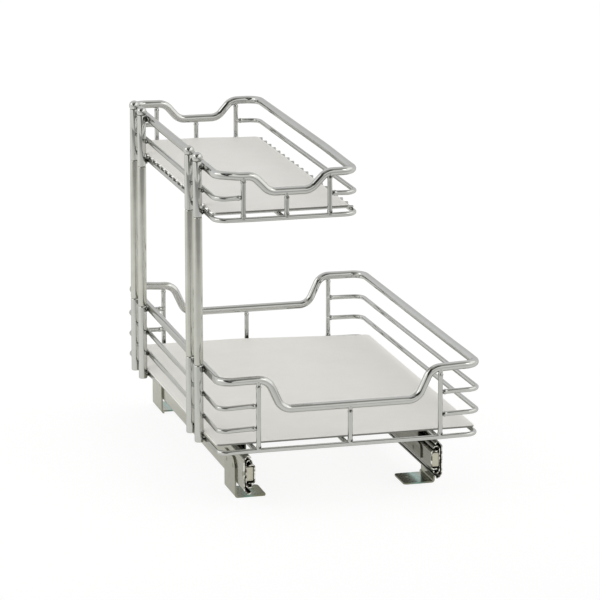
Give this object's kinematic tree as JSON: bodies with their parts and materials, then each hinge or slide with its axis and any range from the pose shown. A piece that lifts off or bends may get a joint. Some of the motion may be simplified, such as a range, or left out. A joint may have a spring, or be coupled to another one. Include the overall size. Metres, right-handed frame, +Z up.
{
  "type": "pull-out cabinet basket",
  "caption": "Tiered chrome wire pull-out cabinet organiser: wide lower basket and narrow upper basket on posts, carried by ball-bearing slides with screw-down feet.",
  "frame": {"origin": "centre of the four foot screw holes, on the cabinet floor under the feet", "axes": "+X to the right seen from the front, +Y to the back of the cabinet, +Z up; the baskets pull out along -Y"},
  "size_m": [0.3037, 0.449, 0.3779],
  "materials": {
    "chrome_wire": "polished",
    "liner_plastic": "matte",
    "slide_steel": "bright zinc",
    "foot_zinc": "bright zinc",
    "cage_steel": "satin",
    "ball_steel": "polished",
    "bumper_plastic": "matte"
  },
  "bodies": {
    "cabinet_side": {"bracket_front_left": "foot_zinc", "bracket_front_right": "foot_zinc", "bracket_rear_left": "foot_zinc", "bracket_rear_right": "foot_zinc", "cabinet_member_left": "slide_steel", "cabinet_member_right": "slide_steel", "bracket_rivets": "foot_zinc"},
    "middle_left": {"middle_member_left": "slide_steel", "bumper_left": "bumper_plastic"},
    "middle_right": {"middle_member_right": "slide_steel", "bumper_right": "bumper_plastic"},
    "outer_ball_cage_left": {"outer_cage_left": "cage_steel", "outer_balls_left": "ball_steel"},
    "outer_ball_cage_right": {"outer_cage_right": "cage_steel", "outer_balls_right": "ball_steel"},
    "inner_ball_cage_left": {"inner_cage_left": "cage_steel", "inner_balls_left": "ball_steel"},
    "inner_ball_cage_right": {"inner_cage_right": "cage_steel", "inner_balls_right": "ball_steel"},
    "drawer": {"drawer_member_left": "slide_steel", "drawer_member_right": "slide_steel", "hanger_left": "slide_steel", "hanger_right": "slide_steel", "hanger_rivets": "slide_steel", "lower_rail": "chrome_wire", "lower_side_wires_left": "chrome_wire", "lower_side_wires_right": "chrome_wire", "lower_frame_wire": "chrome_wire", "lower_uprights_front": "chrome_wire", "lower_uprights_back": "chrome_wire", "lower_depth_wires": "chrome_wire", "lower_cross_wires": "chrome_wire", "lower_liner": "liner_plastic", "lower_post_stubs": "chrome_wire", "post_tube_front_1": "chrome_wire", "post_tube_front_2": "chrome_wire", "post_tube_rear_1": "chrome_wire", "post_tube_rear_2": "chrome_wire", "post_spigots": "cage_steel", "upper_post_stubs": "chrome_wire", "finials": "chrome_wire", "upper_rail": "chrome_wire", "upper_side_wire_left": "chrome_wire", "upper_side_wire_right": "chrome_wire", "upper_frame_wire": "chrome_wire", "upper_uprights_front": "chrome_wire", "upper_uprights_back": "chrome_wire", "upper_depth_wire": "chrome_wire", "upper_cross_wires": "chrome_wire", "upper_liner": "liner_plastic"}
  },
  "joints": [
    {"name": "drawer_slide", "type": "slide", "parent": "cabinet_side", "child": "drawer", "axis": [0, -1, 0], "range_m": [0, 0.4]},
    {"name": "middle_slide_left", "type": "slide", "parent": "cabinet_side", "child": "middle_left", "axis": [0, -1, 0], "range_m": [0, 0.2]},
    {"name": "middle_slide_right", "type": "slide", "parent": "cabinet_side", "child": "middle_right", "axis": [0, -1, 0], "range_m": [0, 0.2]},
    {"name": "outer_cage_slide_left", "type": "slide", "parent": "cabinet_side", "child": "outer_ball_cage_left", "axis": [0, -1, 0], "range_m": [0, 0.1]},
    {"name": "outer_cage_slide_right", "type": "slide", "parent": "cabinet_side", "child": "outer_ball_cage_right", "axis": [0, -1, 0], "range_m": [0, 0.1]},
    {"name": "inner_cage_slide_left", "type": "slide", "parent": "cabinet_side", "child": "inner_ball_cage_left", "axis": [0, -1, 0], "range_m": [0, 0.3]},
    {"name": "inner_cage_slide_right", "type": "slide", "parent": "cabinet_side", "child": "inner_ball_cage_right", "axis": [0, -1, 0], "range_m": [0, 0.3]}
  ],
  "couplings": [
    {"joint": "middle_slide_left", "follows": "drawer_slide", "ratio": 0.5},
    {"joint": "middle_slide_right", "follows": "drawer_slide", "ratio": 0.5},
    {"joint": "outer_cage_slide_left", "follows": "drawer_slide", "ratio": 0.25},
    {"joint": "outer_cage_slide_right", "follows": "drawer_slide", "ratio": 0.25},
    {"joint": "inner_cage_slide_left", "follows": "drawer_slide", "ratio": 0.75},
    {"joint": "inner_cage_slide_right", "follows": "drawer_slide", "ratio": 0.75}
  ]
}
